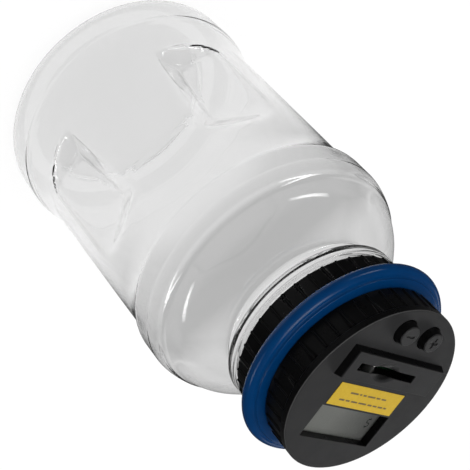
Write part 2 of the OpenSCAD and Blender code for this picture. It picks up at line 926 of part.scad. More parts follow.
module cover_screw() {
    color("silver")
        on_lid()
            translate([0, cover_screw_y, cover_z])
                screw(cover_head_r, cover_head_h, cover_screw_r, cover_screw_l);
}

module base_screws() {
    color("silver")
        on_lid()
            for (at = base_screw_at)
                translate([at.x, at.y, floor_z + base_head_h + set_gap])
                    screw(base_head_r, base_head_h, base_screw_r, base_screw_l - base_head_h);
}

module board_screws() {
    color("silver")
        on_lid()
            for (at = board_screw_at)
                translate([at.x, at.y, board_z])
                    screw(board_head_r, board_head_h, board_screw_r, board_screw_l);
}

// Cell with its nub at the end of +X, against the contact plate
module cell_body(y, way) {
    on_lid()
        translate([0, y, cell_z])
            rotate([0, 90 * way, 0])
                translate([0, 0, box_in_l / 2 - sheet_t - cell_l])
                    rotate_extrude()
                        polygon([[0, 0], [cell_d / 2, 0], [cell_d / 2, cell_l - cell_nub_l],
                            [cell_nub_r, cell_l - cell_nub_l], [cell_nub_r, cell_l], [0, cell_l]]);
}

module battery_1() {
    color([0.2, 0.35, 0.3])
        cell_body(cell_y, 1);
}

module battery_2() {
    color([0.2, 0.35, 0.3])
        cell_body(cell_y + cell_pitch, -1);
}

module battery_springs() {
    x = box_in_l / 2 - sheet_t;
    color("silver")
        on_lid() {
            translate([-x, cell_y, cell_z])
                rotate([0, 90, 0])
                    coil(contact_big_r, contact_small_r, contact_l, contact_turns, contact_wire);
            translate([x, cell_y + cell_pitch, cell_z])
                rotate([0, -90, 0])
                    coil(contact_big_r, contact_small_r, contact_l, contact_turns, contact_wire);
        }
}

module contact_plates() {
    x = box_in_l / 2;
    z0 = cell_z - plate_lift;
    z1 = cell_z + plate_lift;
    color("silver")
        on_lid() {
            block([x - sheet_t, cell_y - plate_w / 2, z0], [x, cell_y + cell_pitch + plate_w / 2, z1]);
            for (y = [cell_y, cell_y + cell_pitch]) {
                block([-x, y - plate_w / 2, z0], [-x + sheet_t, y + plate_w / 2, z1]);
                block([-x, y - tail_w / 2, z1 - eps], [-x + sheet_t, y + tail_w / 2, board_z]);
            }
        }
}

jar();
jar_neck();
gasket();
lid_base();
trim_ring();
head_shell();
slot_insert();
plus_button();
minus_button();
plus_pad();
minus_pad();
lcd_window();
lcd_panel();
lcd_connectors();
label();
circuit_board();
controller_blob();
board_components();
coin_lever();
wiper_contact();
lever_pin();
lever_spring();
battery_cover();
cover_screw();
battery_1();
battery_2();
battery_springs();
contact_plates();
base_screws();
board_screws();
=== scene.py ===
"""Looks of an electronic coin bank: a clear screw jar under a black counting lid with a blue ring."""

import json
import math

import bmesh
import bpy
from mathutils import Matrix, Vector


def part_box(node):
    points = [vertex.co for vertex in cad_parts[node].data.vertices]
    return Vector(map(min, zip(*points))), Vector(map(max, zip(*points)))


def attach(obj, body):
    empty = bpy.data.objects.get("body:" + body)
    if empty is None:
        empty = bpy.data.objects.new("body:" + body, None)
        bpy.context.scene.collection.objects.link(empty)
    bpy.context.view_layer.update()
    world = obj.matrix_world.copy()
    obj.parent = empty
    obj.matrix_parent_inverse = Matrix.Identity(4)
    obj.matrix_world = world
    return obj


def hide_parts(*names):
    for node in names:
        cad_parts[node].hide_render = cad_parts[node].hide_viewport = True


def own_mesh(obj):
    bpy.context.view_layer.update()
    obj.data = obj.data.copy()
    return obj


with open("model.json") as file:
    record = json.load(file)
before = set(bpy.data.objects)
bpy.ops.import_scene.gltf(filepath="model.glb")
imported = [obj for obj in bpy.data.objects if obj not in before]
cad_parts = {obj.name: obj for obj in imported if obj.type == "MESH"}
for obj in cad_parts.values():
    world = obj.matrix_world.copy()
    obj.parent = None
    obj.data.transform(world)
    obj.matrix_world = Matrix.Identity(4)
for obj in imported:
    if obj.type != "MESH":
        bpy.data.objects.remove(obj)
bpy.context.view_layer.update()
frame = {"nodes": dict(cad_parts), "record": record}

MM = 0.001
PLATE_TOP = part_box("label")[0].z
LABEL_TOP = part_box("label")[1].z
DISPLAY_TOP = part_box("lcd_panel")[1].z
PLATFORM_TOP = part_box("slot_insert")[1].z
BUTTON_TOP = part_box("plus_button")[1].z

# Turn of the lid's face about the bank's axis
LID_TURN = math.radians(-69.5)


# Jar, in millimetres, with angles in degrees from its front

BASE_R = 55.0
WAIST_R = 52.0
SHOULDER_R = 54.4
NECK_R = 34.0
BODY_WALL = 1.2
NECK_WALL = 1.6
JAR_STEPS = 240
MERGE_REACH = 1e-6

# Radius and height of points under the foot, from the moulding gate out to the standing ring
SOLE = [(0, 2.42), (2.4, 2.42), (3.2, 2.5), (20, 2.5), (35, 2.5), (37, 2.0), (38.6, 0.9), (39.6, 0.15),
        (41, 0), (44, 0)]
# The same for the floor inside, from the wall in to the axis
JAR_FLOOR = [(44, 1.2), (41, 1.25), (39.6, 1.5), (38.2, 2.4), (36.6, 3.4), (35, 3.7), (20, 3.7), (0, 3.7)]

# Base: a rounded foot and a straight wall up to a low ridge
FOOT_ROUND = 8.0
FOOT_STEPS = 10
FOOT_WALL_Z = 12.0
RIDGE_Z = (18.6, 22.4)
RIDGE_FALL = 0.7
RIDGE_ROWS = [19.0 + 0.6 * i for i in range(6)]
BASE_COVE_STEPS = 14

# Waist, with rows close enough for the grips, and the band over it
WAIST_LOW_Z = 37.0
WAIST_HIGH_Z = 104.5
WAIST_ROWS = 54
BAND_COVE_STEPS = 12
BAND_Z = 118.8
BAND_MIDDLE_Z = 122.5
FOLD_FALL = 0.22
FOLD_HEIGHT = 1.8

# Shoulder with its crease
SHOULDER_Z = 126.7
SHOULDER_POWER = 4 / 3
SHOULDER_STEPS = 40
CREASE_Z = 134.0
CREASE_DEPTH = 0.5
CREASE_FALL = (-1.2, 0.4)
CREASE_RETURN = 7.0

# Neck with a grooved collar, and a thread under the lid's skirt
NECK_Z = 152.0
NECK_FOOT_Z = 154.5
NECK_MIDDLE_Z = 166.0
RIM_Z = 171.8
RIM_ROUND = 0.5
RIM_STEPS = 2
BORE_ROWS = (162.0, 155.0)
COLLAR_R = 37.2
COLLAR_LOW_Z = 157.1
COLLAR_HIGH_Z = 161.7
COLLAR_ROUND = 0.4
COLLAR_STEPS = 5
COLLAR_FILLET = 0.2
GROOVE_Z = 159.1
# Radius of the groove's points and how far they lie from its middle
GROOVE = [(COLLAR_R, 0.6), (36.9, 0.35), (35.3, 0.15)]
THREAD_Z = 163.9
THREAD_ROOT = (33.9, 0.75)
THREAD_CREST = (35.0, 0.41)
THREAD_TURNS = 1.5
THREAD_PITCH = 4.0
THREAD_STEPS = 108

# Pinch grips: where they may reach, the crease and the front edge with their lean, and the round ends
GRIP_ANGLES = (8, 66)
GRIP_HEIGHTS = (36, 101)
GRIP_INNER_R = 45
GRIP_DEPTH = 7.5
GRIP_CREASE = 34.5
GRIP_CREASE_Z = 58
GRIP_CREASE_LEAN = 0.155
GRIP_CREASE_BLEND = 0.5
GRIP_EDGE = 21.5
GRIP_EDGE_Z = 64
GRIP_EDGE_LEAN = 0.18
GRIP_FAR_EDGE = 57
GRIP_MIDDLE = 37
GRIP_HALF_ANGLE = 21
GRIP_TOP_Z = 95.5
GRIP_TOP_BOW = 13
GRIP_TOP_SLOPE = 0.5
GRIP_FOOT_Z = 39
GRIP_FOOT_BOW = 6
GRIP_FOOT_SLOPE = 2.2
GRIP_END_BLEND = 3.5
GRIP_LIP_BLEND = 1.2

# Flat panel between the grips
PANEL_DEPTH = 0.15
PANEL_HALF_ANGLE = 15.5
PANEL_TOP_Z = 83.8
PANEL_FOOT_Z = 46
PANEL_EDGE = (-0.6, 1.6)


def softly_less(a, b, blend):
    """The smaller of two depths, rounded over where they cross."""
    h = max(blend - abs(a - b), 0) / blend
    return min(a, b) - h * h * blend / 4


def softly_more(a, b, blend):
    """The larger of two depths, rounded over where they cross."""
    return -softly_less(-a, -b, blend)


def rising(x, low, high):
    """Goes smoothly from 0 at low to 1 at high."""
    t = min(max((x - low) / (high - low), 0), 1)
    return t * t * (3 - 2 * t)


def chord_depth(phi, phi_a, r_a, phi_b, r_b):
    """How far a flat between two points of the plan lies inside the waist, at an angle from the front."""
    a, b, p = (math.radians(x) for x in (phi_a, phi_b, phi))
    return WAIST_R - r_a * r_b * math.sin(b - a) / (r_a * math.sin(p - a) + r_b * math.sin(b - p))


def grip_depth(phi, z):
    """Depth of a pinch grip: a V that leans to the front as it rises, with round ends."""
    if not GRIP_ANGLES[0] < phi < GRIP_ANGLES[1]:
        return 0.0
    crease = GRIP_CREASE - GRIP_CREASE_LEAN * (z - GRIP_CREASE_Z)
    edge = GRIP_EDGE - GRIP_EDGE_LEAN * (z - GRIP_EDGE_Z)
    near = chord_depth(phi, edge, WAIST_R, crease, WAIST_R - GRIP_DEPTH)
    far = chord_depth(phi, crease, WAIST_R - GRIP_DEPTH, GRIP_FAR_EDGE, WAIST_R)
    vee = softly_less(near, far, GRIP_CREASE_BLEND)
    across = min(abs((phi - GRIP_MIDDLE) / GRIP_HALF_ANGLE), 1)
    bow = 1 - math.sqrt(1 - across * across)
    upper = (GRIP_TOP_Z - GRIP_TOP_BOW * bow - z) * GRIP_TOP_SLOPE
    lower = (z - GRIP_FOOT_Z - GRIP_FOOT_BOW * bow) * GRIP_FOOT_SLOPE
    depth = softly_less(softly_less(vee, upper, GRIP_END_BLEND), lower, GRIP_END_BLEND)
    return softly_more(depth, 0.0, GRIP_LIP_BLEND) if depth > -GRIP_LIP_BLEND else 0.0


def panel_depth(phi, z):
    """Depth of the shallow flat between the two grips."""
    inside = min((PANEL_HALF_ANGLE - phi) * math.radians(WAIST_R), PANEL_TOP_Z - z, z - PANEL_FOOT_Z)
    return PANEL_DEPTH * rising(inside, *PANEL_EDGE)


def crease_depth(z):
    """Depth of the crease around the shoulder: a short fall and a long way back."""
    start, bottom = (CREASE_Z + step for step in CREASE_FALL)
    return CREASE_DEPTH * rising(z, start, bottom) * (1 - rising(z, bottom, CREASE_Z + CREASE_RETURN))


def rounded(centre, radius, start, end, count):
    """Points of an arc between two angles."""
    turns = [math.radians(start + (end - start) * i / count) for i in range(count + 1)]
    return [(centre[0] + radius * math.cos(a), centre[1] + radius * math.sin(a)) for a in turns]


def coved(waist, edge, count):
    """Points of a hollow that leaves the waist smoothly and ends at an edge."""
    steps = [i / count for i in range(1, count + 1)]
    return [(waist[0] + (edge[0] - waist[0]) * t * t, waist[1] + (edge[1] - waist[1]) * t) for t in steps]


def shoulder(low, high):
    """Points of the rounded shoulder from the band up to the neck."""
    turns = [math.pi / 2 * i / SHOULDER_STEPS for i in range(1, SHOULDER_STEPS + 1)]
    points = [(high[0] + (low[0] - high[0]) * max(math.cos(a), 0) ** SHOULDER_POWER,
               low[1] + (high[1] - low[1]) * math.sin(a) ** SHOULDER_POWER) for a in turns]
    return [(r - crease_depth(z), z) for r, z in points]


def body_side(inset, neck):
    """Side of the jar from the foot to the neck, drawn in by a wall."""
    base, waist, band = (r - inset for r in (BASE_R, WAIST_R, SHOULDER_R))
    row = (WAIST_HIGH_Z - WAIST_LOW_Z) / WAIST_ROWS
    points = rounded((BASE_R - FOOT_ROUND, FOOT_ROUND), FOOT_ROUND - inset, -90, 0, FOOT_STEPS)
    points += [(base, FOOT_WALL_Z), (base, RIDGE_Z[0])]
    points += [(base - RIDGE_FALL * rising(z, *RIDGE_Z), z) for z in RIDGE_ROWS]
    points += coved((waist, WAIST_LOW_Z), points[-1], BASE_COVE_STEPS)[-2::-1]
    points += [(waist, WAIST_LOW_Z + i * row) for i in range(WAIST_ROWS + 1)]
    points += coved((waist, WAIST_HIGH_Z), (band - FOLD_FALL, BAND_Z - FOLD_HEIGHT), BAND_COVE_STEPS)
    points += [(band - FOLD_FALL * t ** 3, BAND_Z - FOLD_HEIGHT * t) for t in (2 / 3, 1 / 3, 0)]
    points += [(band, BAND_MIDDLE_Z), (band, SHOULDER_Z)]
    points += shoulder((band, SHOULDER_Z), (neck, NECK_Z - inset))
    return points


def collar_side():
    """Outside of the neck's collar, with the groove around its middle."""
    corner = COLLAR_R - COLLAR_ROUND
    points = [(NECK_R, COLLAR_LOW_Z - COLLAR_FILLET), (NECK_R + COLLAR_FILLET, COLLAR_LOW_Z)]
    points += rounded((corner, COLLAR_LOW_Z + COLLAR_ROUND), COLLAR_ROUND, -90, 0, COLLAR_STEPS)
    points += [(r, GROOVE_Z - half) for r, half in GROOVE]
    points += [(r, GROOVE_Z + half) for r, half in GROOVE[::-1]]
    points += rounded((corner, COLLAR_HIGH_Z - COLLAR_ROUND), COLLAR_ROUND, 0, 90, COLLAR_STEPS)
    points += [(NECK_R + COLLAR_FILLET, COLLAR_HIGH_Z), (NECK_R, COLLAR_HIGH_Z + COLLAR_FILLET)]
    return points


def jar_section():
    """Section of the jar's wall, from the axis under the foot round the rim to the axis inside."""
    bore = NECK_R - NECK_WALL
    rim_z = RIM_Z - RIM_ROUND
    outside = SOLE + body_side(0, NECK_R)
    outside += [(NECK_R, NECK_FOOT_Z)] + collar_side() + [(NECK_R, NECK_MIDDLE_Z)]
    outside += rounded((NECK_R - RIM_ROUND, rim_z), RIM_ROUND, 0, 90, RIM_STEPS)
    inside = rounded((bore + RIM_ROUND, rim_z), RIM_ROUND, 90, 180, RIM_STEPS)
    inside += [(bore, z) for z in BORE_ROWS]
    inside += body_side(BODY_WALL, bore)[::-1] + JAR_FLOOR
    return outside + inside


def turned(bm, points, steps):
    """Spins a section, given as (radius, height) pairs in millimetres, once around the axis."""
    verts = [bm.verts.new((r * MM, 0, z * MM)) for r, z in points]
    edges = [bm.edges.new(pair) for pair in zip(verts, verts[1:])]
    bmesh.ops.spin(bm, geom=verts + edges, axis=(0, 0, 1), cent=(0, 0, 0), angle=2 * math.pi, steps=steps,
                   use_merge=True)


def add_neck_thread(bm):
    """Thread around the neck, with both ends run down to its root."""
    (root_r, root_half), (crest_r, crest_half) = THREAD_ROOT, THREAD_CREST
    section = [(root_r, -root_half), (crest_r, -crest_half), (crest_r, crest_half), (root_r, root_half)]
    ring = [bm.verts.new((r * MM, 0, (THREAD_Z + z) * MM)) for r, z in section]
    edges = [bm.edges.new(pair) for pair in zip(ring, ring[1:] + ring[:1])]
    start = bm.faces.new(ring)
    climb = THREAD_TURNS * THREAD_PITCH * MM / THREAD_STEPS
    swept = bmesh.ops.spin(bm, geom=ring + edges, axis=(0, 0, 1), cent=(0, 0, 0),
                           angle=THREAD_TURNS * 2 * math.pi, steps=THREAD_STEPS, dvec=(0, 0, climb),
                           use_merge=False)
    last = [v for v in swept["geom_last"] if isinstance(v, bmesh.types.BMVert)]
    bmesh.ops.contextual_create(bm, geom=[e for e in swept["geom_last"] if isinstance(e, bmesh.types.BMEdge)])
    for v in list(start.verts) + last:
        flat = Vector((v.co.x, v.co.y, 0))
        v.co -= flat.normalized() * max(flat.length - root_r * MM, 0)


def piece_from(bm, name, body, finish, smooth=True):
    """Closes a mesh, gives it its finish and sets it on a body."""
    bmesh.ops.remove_doubles(bm, verts=bm.verts, dist=MERGE_REACH)
    bmesh.ops.recalc_face_normals(bm, faces=bm.faces)
    mesh = bpy.data.meshes.new(name)
    bm.to_mesh(mesh)
    bm.free()
    if smooth:
        mesh.shade_smooth()
    piece = bpy.data.objects.new(name, mesh)
    bpy.context.scene.collection.objects.link(piece)
    mesh.materials.append(finish)
    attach(piece, body)
    return piece


def make_jar(finish):
    """Clear jar in one piece: a turned wall with its grips and panel pressed in, and the neck's thread."""
    bm = bmesh.new()
    turned(bm, jar_section(), JAR_STEPS)
    for v in bm.verts:
        r, z = math.hypot(v.co.x, v.co.y) / MM, v.co.z / MM
        if r > GRIP_INNER_R and GRIP_HEIGHTS[0] < z < GRIP_HEIGHTS[1]:
            phi = abs(math.degrees(math.atan2(v.co.x, -v.co.y)))
            pushed = (r - grip_depth(phi, z) - panel_depth(phi, z)) / r
            v.co.x *= pushed
            v.co.y *= pushed
    add_neck_thread(bm)
    jar = piece_from(bm, "jar_bottle", "jar", finish)
    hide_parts("jar", "jar_neck")


# Finishes, with lengths in metres and grains in cells per metre

# The part of a noise's range that most of it fills
NOISE_REACH = (0.3, 0.7)
FULL_REACH = (0.0, 1.0)

# The head's plate has a painted highlight, a grey line at its rim, and a moulding's top fades into its walls
PLATE_HIGHLIGHT_RIM = 0.0366
RIM_HIGHLIGHT_FADE = 0.2 * MM
RIM_HIGHLIGHT_GREY = (0.06, 0.06, 0.06)
TOP_FADE = 0.4 * MM

SATIN_BLACK = ((0.0015, 0.0015, 0.0016), (0.0025, 0.0025, 0.0027))
PLATE_BLACK = ((0.0122, 0.0122, 0.0126), (0.017, 0.017, 0.0174))
STEEL = ((0.45, 0.45, 0.46), (0.6, 0.6, 0.6))

# What the clear wall lets through to the lamps, and the grey that its thickness takes on
LAMPLIGHT_PASSED = 0.985
WALL_GREY = 0.4

# The display is painted darker between these places across the lid, as painted shade, and the cells' bare
# band starts at this one
PAINTED_DISPLAY_SHADE = (-0.021, 0.004)
CELL_BAND = (0.009, 0.0092)


def grey(level):
    """A grey as a colour socket takes it."""
    return (level, level, level, 1)


def new_finish(name):
    """An empty material with a surface shader and its output."""
    material = bpy.data.materials.new(name)
    material.use_nodes = True
    tree = material.node_tree
    tree.nodes.clear()
    out = tree.nodes.new("ShaderNodeOutputMaterial")
    surface = tree.nodes.new("ShaderNodeBsdfPrincipled")
    tree.links.new(surface.outputs[0], out.inputs["Surface"])
    return material, tree, surface, out


def place(tree, stretch=(1, 1, 1), turn=0.0):
    """The piece's own coordinates in metres, turned about Z and then stretched."""
    where = tree.nodes.new("ShaderNodeTexCoord").outputs["Object"]
    if turn:
        turned_place = tree.nodes.new("ShaderNodeMapping")
        turned_place.inputs["Rotation"].default_value = (0, 0, turn)
        tree.links.new(where, turned_place.inputs["Vector"])
        where = turned_place.outputs[0]
    if stretch != (1, 1, 1):
        stretched = tree.nodes.new("ShaderNodeMapping")
        stretched.inputs["Scale"].default_value = stretch
        tree.links.new(where, stretched.inputs["Vector"])
        where = stretched.outputs[0]
    return where


def along(tree, axis, turn=0.0):
    """One of the piece's own coordinates, after a turn about Z."""
    split = tree.nodes.new("ShaderNodeSeparateXYZ")
    tree.links.new(place(tree, turn=turn), split.inputs[0])
    return split.outputs[axis]


def out_from_axis(tree):
    """Distance from the bank's axis."""
    length = tree.nodes.new("ShaderNodeVectorMath")
    length.operation = "LENGTH"
    tree.links.new(place(tree, (1, 1, 0)), length.inputs[0])
    return length.outputs["Value"]


def grain(tree, scale, detail=3.0, where=None):
    """Noise over the piece's own coordinates, or over others."""
    noise = tree.nodes.new("ShaderNodeTexNoise")
    noise.inputs["Scale"].default_value = scale
    noise.inputs["Detail"].default_value = detail
    tree.links.new(where or place(tree), noise.inputs["Vector"])
    return noise.outputs["Fac"]


def feed(tree, socket, number):
    """Sets a socket to a number or links it to another socket."""
    if isinstance(number, bpy.types.NodeSocket):
        tree.links.new(number, socket)
    else:
        socket.default_value = number


def between(tree, value, low, high, start=0.0, end=1.0):
    """Maps a value running from start to end onto low to high."""
    ranged = tree.nodes.new("ShaderNodeMapRange")
    ranged.inputs["From Min"].default_value = start
    ranged.inputs["From Max"].default_value = end
    feed(tree, ranged.inputs["To Min"], low)
    feed(tree, ranged.inputs["To Max"], high)
    tree.links.new(value, ranged.inputs["Value"])
    return ranged.outputs[0]


def tint(tree, value, dark, light):
    """Mixes two colours, each a colour or a colour socket."""
    mix = tree.nodes.new("ShaderNodeMix")
    mix.data_type = "RGBA"
    tree.links.new(value, mix.inputs[0])
    for socket, colour in ((mix.inputs[6], dark), (mix.inputs[7], light)):
        feed(tree, socket, colour if isinstance(colour, bpy.types.NodeSocket) else (*colour, 1))
    return mix.outputs[2]


def pick(tree, value, low, high):
    """Goes from one number socket to another."""
    mix = tree.nodes.new("ShaderNodeMix")
    tree.links.new(value, mix.inputs[0])
    tree.links.new(low, mix.inputs[2])
    tree.links.new(high, mix.inputs[3])
    return mix.outputs[0]


def set_colour(tree, surface, colour):
    """Colours a surface from a colour socket."""
    tree.links.new(colour, surface.inputs["Base Color"])


def set_gloss(tree, surface, noise, rough, reach=NOISE_REACH):
    """Lets a surface's roughness wander between two values."""
    tree.links.new(between(tree, noise, *rough, *reach), surface.inputs["Roughness"])


def relief(tree, surface, height, depth, edge=0.0):
    """Raises the surface by a height, over softened edges."""
    bump = tree.nodes.new("ShaderNodeBump")
    bump.inputs["Strength"].default_value = 1.0
    bump.inputs["Distance"].default_value = depth
    tree.links.new(height, bump.inputs["Height"])
    if edge:
        soft = tree.nodes.new("ShaderNodeBevel")
        soft.samples = 6
        soft.inputs["Radius"].default_value = edge
        tree.links.new(soft.outputs[0], bump.inputs["Normal"])
    tree.links.new(bump.outputs[0], surface.inputs["Normal"])


def moulded(name, dark, light, rough, spark=2500, depth=4e-6, shine=0.5, edge=0.2 * MM):
    """Moulded plastic with a fine spark grain and slightly uneven colour and gloss."""
    material, tree, surface, _ = new_finish(name)
    patches = grain(tree, 90)
    wipes = grain(tree, 160)
    set_colour(tree, surface, tint(tree, patches, dark, light))
    set_gloss(tree, surface, wipes, rough)
    surface.inputs["Specular IOR Level"].default_value = shine
    relief(tree, surface, grain(tree, spark, 2), depth, edge)
    return material


def two_part_black(name, level, wall_rough, top_rough, shine, rim=None):
    """Black moulding, polished on its walls and grained above a level, with a painted grey rim highlight or
    none.
    """
    material, tree, surface, _ = new_finish(name)
    on_top = between(tree, along(tree, "Z"), 0, 1, level - TOP_FADE, level)
    patches = grain(tree, 70)
    wipes = grain(tree, 140)
    spark = grain(tree, 2600, 2)
    walls = tint(tree, patches, *SATIN_BLACK)
    top = tint(tree, patches, *PLATE_BLACK)
    # Painted highlight: the plate goes grey in a thin band at its rim, standing in for light on its rounded
    # edge.
    if rim:
        painted_rim_highlight = between(tree, out_from_axis(tree), 0, 1, rim - RIM_HIGHLIGHT_FADE, rim)
        top = tint(tree, painted_rim_highlight, top, RIM_HIGHLIGHT_GREY)
    set_colour(tree, surface, tint(tree, on_top, walls, top))
    polished = between(tree, wipes, *wall_rough, *NOISE_REACH)
    grained = between(tree, wipes, *top_rough, *NOISE_REACH)
    tree.links.new(pick(tree, on_top, polished, grained), surface.inputs["Roughness"])
    surface.inputs["Specular IOR Level"].default_value = shine
    relief(tree, surface, spark, depth=5e-6, edge=0.25 * MM)
    return material


def metal(name, dark, light, rough, stretch):
    """Drawn or turned metal with fine lines along one way."""
    material, tree, surface, _ = new_finish(name)
    lines = grain(tree, 1800, 2, place(tree, stretch))
    set_colour(tree, surface, tint(tree, lines, dark, light))
    set_gloss(tree, surface, lines, rough)
    surface.inputs["Metallic"].default_value = 1.0
    relief(tree, surface, lines, depth=3e-6)
    return material


def rubber(name, dark, light, rough):
    """Soft rubber or foam with a dull, pored skin."""
    material, tree, surface, _ = new_finish(name)
    patches = grain(tree, 220)
    wipes = grain(tree, 400)
    pores = grain(tree, 1500, 3)
    set_colour(tree, surface, tint(tree, patches, dark, light))
    set_gloss(tree, surface, wipes, rough)
    surface.inputs["Sheen Weight"].default_value = 0.1
    relief(tree, surface, pores, depth=8e-6, edge=0.2 * MM)
    return material


def clear(name, colour, index, ripple=0.0, absorbed=0.0):
    """Clear plastic that lets lamplight through to what is behind it."""
    material, tree, surface, out = new_finish(name)
    wipes = grain(tree, 60)
    surface.inputs["Base Color"].default_value = (*colour, 1)
    surface.inputs["Transmission Weight"].default_value = 1.0
    surface.inputs["IOR"].default_value = index
    set_gloss(tree, surface, wipes, (0.0, 0.03))
    if ripple:
        waves = grain(tree, 55, 2)
        relief(tree, surface, waves, ripple)
    passing = tree.nodes.new("ShaderNodeBsdfTransparent")
    passing.inputs["Color"].default_value = grey(LAMPLIGHT_PASSED)
    mix = tree.nodes.new("ShaderNodeMixShader")
    tree.links.new(tree.nodes.new("ShaderNodeLightPath").outputs["Is Shadow Ray"], mix.inputs[0])
    tree.links.new(surface.outputs[0], mix.inputs[1])
    tree.links.new(passing.outputs[0], mix.inputs[2])
    tree.links.new(mix.outputs[0], out.inputs["Surface"])
    if absorbed:
        inside = tree.nodes.new("ShaderNodeVolumeAbsorption")
        inside.inputs["Color"].default_value = grey(WALL_GREY)
        inside.inputs["Density"].default_value = absorbed
        tree.links.new(inside.outputs[0], out.inputs["Volume"])
    return material


def jar_plastic():
    """Clear plastic of the jar, slightly rippled and a little grey in its thickness."""
    return clear("jar_plastic", (0.965, 0.965, 0.965), index=1.5, ripple=0.02 * MM, absorbed=25)


def label_film():
    """Yellow film of the label."""
    material, tree, surface, _ = new_finish("label_yellow_film")
    fibres = grain(tree, 900, 4)
    wipes = grain(tree, 300)
    set_colour(tree, surface, tint(tree, fibres, (0.33, 0.215, 0.012), (0.42, 0.285, 0.022)))
    set_gloss(tree, surface, wipes, (0.32, 0.5))
    surface.inputs["Specular IOR Level"].default_value = 0.1
    relief(tree, surface, fibres, depth=6e-6)
    return material


def display_glass():
    """Grey reflective display with painted shade darkening it to one end, with the faint weave of its back
    film.
    """
    material, tree, surface, _ = new_finish("display_grey")
    weave = grain(tree, 3000, 1, place(tree, (1, 0.15, 1), -LID_TURN))
    wipes = grain(tree, 120)
    lit = tint(tree, weave, (0.24, 0.245, 0.23), (0.29, 0.295, 0.275))
    dim = tint(tree, weave, (0.09, 0.092, 0.088), (0.11, 0.112, 0.107))
    # Painted shade: the display's colour goes from a lit grey to a dim grey across the lid.
    across = between(tree, along(tree, "X", -LID_TURN), 0, 1, *PAINTED_DISPLAY_SHADE)
    set_colour(tree, surface, tint(tree, across, dim, lit))
    set_gloss(tree, surface, wipes, (0.28, 0.4))
    relief(tree, surface, weave, depth=2e-6)
    return material


def striped_strip():
    """Elastomer strip with its thin conducting layers."""
    material, tree, surface, _ = new_finish("connector_layers")
    layers = tree.nodes.new("ShaderNodeTexWave")
    layers.inputs["Scale"].default_value = 900
    tree.links.new(place(tree, turn=-LID_TURN), layers.inputs["Vector"])
    wipes = grain(tree, 300)
    set_colour(tree, surface, tint(tree, layers.outputs["Fac"], (0.03, 0.03, 0.03), (0.6, 0.42, 0.36)))
    set_gloss(tree, surface, wipes, (0.6, 0.75), FULL_REACH)
    return material


def board_mask():
    """Green solder mask with slightly raised copper runs."""
    material, tree, surface, _ = new_finish("board_mask")
    cells = tree.nodes.new("ShaderNodeTexBrick")
    cells.inputs["Scale"].default_value = 90
    cells.inputs["Mortar Size"].default_value = 0.09
    cells.inputs["Color1"].default_value = grey(0)
    cells.inputs["Color2"].default_value = grey(0)
    cells.inputs["Mortar"].default_value = grey(1)
    tree.links.new(place(tree, turn=-LID_TURN), cells.inputs["Vector"])
    runs = cells.outputs["Color"]
    patches = grain(tree, 200)
    wipes = grain(tree, 250)
    mask = tint(tree, patches, (0.012, 0.09, 0.035), (0.02, 0.13, 0.05))
    set_colour(tree, surface, tint(tree, runs, mask, (0.05, 0.22, 0.09)))
    set_gloss(tree, surface, wipes, (0.25, 0.4), FULL_REACH)
    relief(tree, surface, runs, depth=3e-5)
    return material


def cell_wrap():
    """Printed foil wrap with a bare band towards one end."""
    material, tree, surface, _ = new_finish("cell_foil")
    band = between(tree, along(tree, "X", -LID_TURN), 0, 1, *CELL_BAND)
    patches = grain(tree, 200)
    wipes = grain(tree, 300)
    wrinkles = grain(tree, 600)
    foil = tint(tree, patches, (0.01, 0.05, 0.03), (0.02, 0.08, 0.05))
    set_colour(tree, surface, tint(tree, band, foil, (0.35, 0.22, 0.06)))
    set_gloss(tree, surface, wipes, (0.2, 0.35), FULL_REACH)
    surface.inputs["Metallic"].default_value = 0.6
    relief(tree, surface, wrinkles, depth=4e-6, edge=0.3 * MM)
    return material


def ink(name, dark=(0.003, 0.003, 0.003), light=(0.008, 0.008, 0.008)):
    """Printed or filled mark."""
    material, tree, surface, _ = new_finish(name)
    patches = grain(tree, 1200)
    wipes = grain(tree, 800)
    set_colour(tree, surface, tint(tree, patches, dark, light))
    set_gloss(tree, surface, wipes, (0.4, 0.6), FULL_REACH)
    return material


